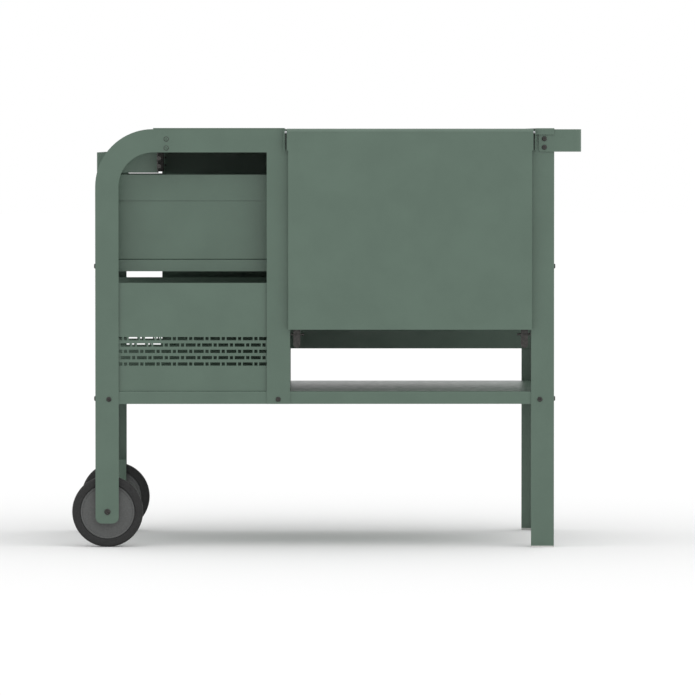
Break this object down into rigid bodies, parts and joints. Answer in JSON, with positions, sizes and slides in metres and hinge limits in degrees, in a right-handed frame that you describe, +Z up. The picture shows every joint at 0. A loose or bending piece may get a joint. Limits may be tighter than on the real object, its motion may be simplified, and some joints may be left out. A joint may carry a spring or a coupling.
{
  "type": "charcoal grill trolley",
  "caption": "Folded-sheet charcoal grill trolley with arched end frames, a drawer bay, an open shelf, a drop flap, a kettle bowl under a flat lid and a wheeled end.",
  "frame": {"origin": "middle of the footprint, on the ground the wheels and feet stand on", "axes": "+X to the right, from the wheeled end to the handle end; +Y from the flap side to the back; +Z up"},
  "size_m": [1.0936, 0.674, 0.9003],
  "materials": {
    "green_paint": "matt powder coat",
    "dark_steel": "dark zinc, satin",
    "bright_steel": "zinc plated, satin",
    "grate_steel": "plated wire",
    "black_enamel": "gloss enamel",
    "tyre_rubber": "matt",
    "hub_plastic": "satin",
    "foot_plastic": "matt, pale nylon"
  },
  "bodies": {
    "root": {"front_arch_frame": "green_paint", "rear_arch_frame": "green_paint", "front_right_leg": "green_paint", "rear_right_leg": "green_paint", "base_tray": "green_paint", "middle_tray": "green_paint", "back_panel": "green_paint", "bay_partition": "green_paint", "worktop_panel": "green_paint", "grill_deck": "green_paint", "right_top_rail": "green_paint", "right_cross_rail": "green_paint", "store_front_panel": "green_paint", "store_rear_panel": "green_paint", "side_rail": "green_paint", "end_handle": "green_paint", "front_side_rail_bracket": "dark_steel", "rear_side_rail_bracket": "dark_steel", "stay_catch_left": "dark_steel", "stay_catch_right": "dark_steel", "front_tray_bolt_left": "dark_steel", "front_tray_bolt_middle": "dark_steel", "front_tray_bolt_right": "dark_steel", "front_left_side_bolt_lower": "dark_steel", "front_left_side_bolt_upper": "dark_steel", "front_right_side_bolt_lower": "dark_steel", "front_right_side_bolt_upper": "dark_steel", "front_handle_bolt_lower": "dark_steel", "front_handle_bolt_upper": "dark_steel", "front_axle_bolt": "dark_steel", "rear_tray_bolt_left": "dark_steel", "rear_tray_bolt_middle": "dark_steel", "rear_tray_bolt_right": "dark_steel", "rear_left_side_bolt_lower": "dark_steel", "rear_left_side_bolt_upper": "dark_steel", "rear_right_side_bolt_lower": "dark_steel", "rear_right_side_bolt_upper": "dark_steel", "rear_handle_bolt_lower": "dark_steel", "rear_handle_bolt_upper": "dark_steel", "rear_axle_bolt": "dark_steel", "flap_pin_left": "bright_steel", "flap_pin_right": "bright_steel", "wheel_axle": "bright_steel", "ash_pan": "bright_steel", "charcoal_grate": "grate_steel", "cooking_grate": "grate_steel", "lid_hinge_rod": "bright_steel", "kettle_bowl": "black_enamel", "front_foot": "foot_plastic", "rear_foot": "foot_plastic"},
    "upper_drawer": {"upper_drawer": "green_paint"},
    "flap": {"flap": "green_paint"},
    "stay_left": {"stay_left": "dark_steel"},
    "stay_right": {"stay_right": "dark_steel"},
    "front_wheel": {"front_tyre": "tyre_rubber", "front_hub": "hub_plastic"},
    "rear_wheel": {"rear_tyre": "tyre_rubber", "rear_hub": "hub_plastic"},
    "grill_lid": {"grill_lid": "green_paint"},
    "vent_damper": {"vent_damper": "bright_steel"}
  },
  "joints": [
    {"name": "front_wheel_spin", "type": "hinge", "parent": "root", "child": "front_wheel", "pos_m": [-0.4706, -0.296, 0.0762], "axis": [0, 1, 0], "continuous": true},
    {"name": "rear_wheel_spin", "type": "hinge", "parent": "root", "child": "rear_wheel", "pos_m": [-0.4706, 0.296, 0.0762], "axis": [0, 1, 0], "continuous": true},
    {"name": "drawer_slide", "type": "slide", "parent": "root", "child": "upper_drawer", "axis": [-1, 0, 0], "range_m": [0, 0.3]},
    {"name": "flap_fold", "type": "hinge", "parent": "root", "child": "flap", "pos_m": [0.1788, -0.329, 0.891], "axis": [-1, 0, 0], "range_deg": [0, 90]},
    {"name": "stay_left_fold", "type": "hinge", "parent": "flap", "child": "stay_left", "pos_m": [-0.0637, -0.3165, 0.761], "axis": [-1, 0, 0], "range_deg": [-120, 1]},
    {"name": "stay_right_fold", "type": "hinge", "parent": "flap", "child": "stay_right", "pos_m": [0.425, -0.3165, 0.761], "axis": [-1, 0, 0], "range_deg": [-120, 1]},
    {"name": "lid_lift", "type": "hinge", "parent": "root", "child": "grill_lid", "pos_m": [0.1788, 0.329, 0.891], "axis": [-1, 0, 0], "range_deg": [0, 100]},
    {"name": "vent_turn", "type": "hinge", "parent": "root", "child": "vent_damper", "pos_m": [0.18065, 0, 0.668], "axis": [0, 0, 1], "range_deg": [-45, 0]}
  ],
  "couplings": [
    {"joint": "stay_left_fold", "follows": "flap_fold", "ratio": -1.3171},
    {"joint": "stay_right_fold", "follows": "flap_fold", "ratio": -1.3171}
  ]
}
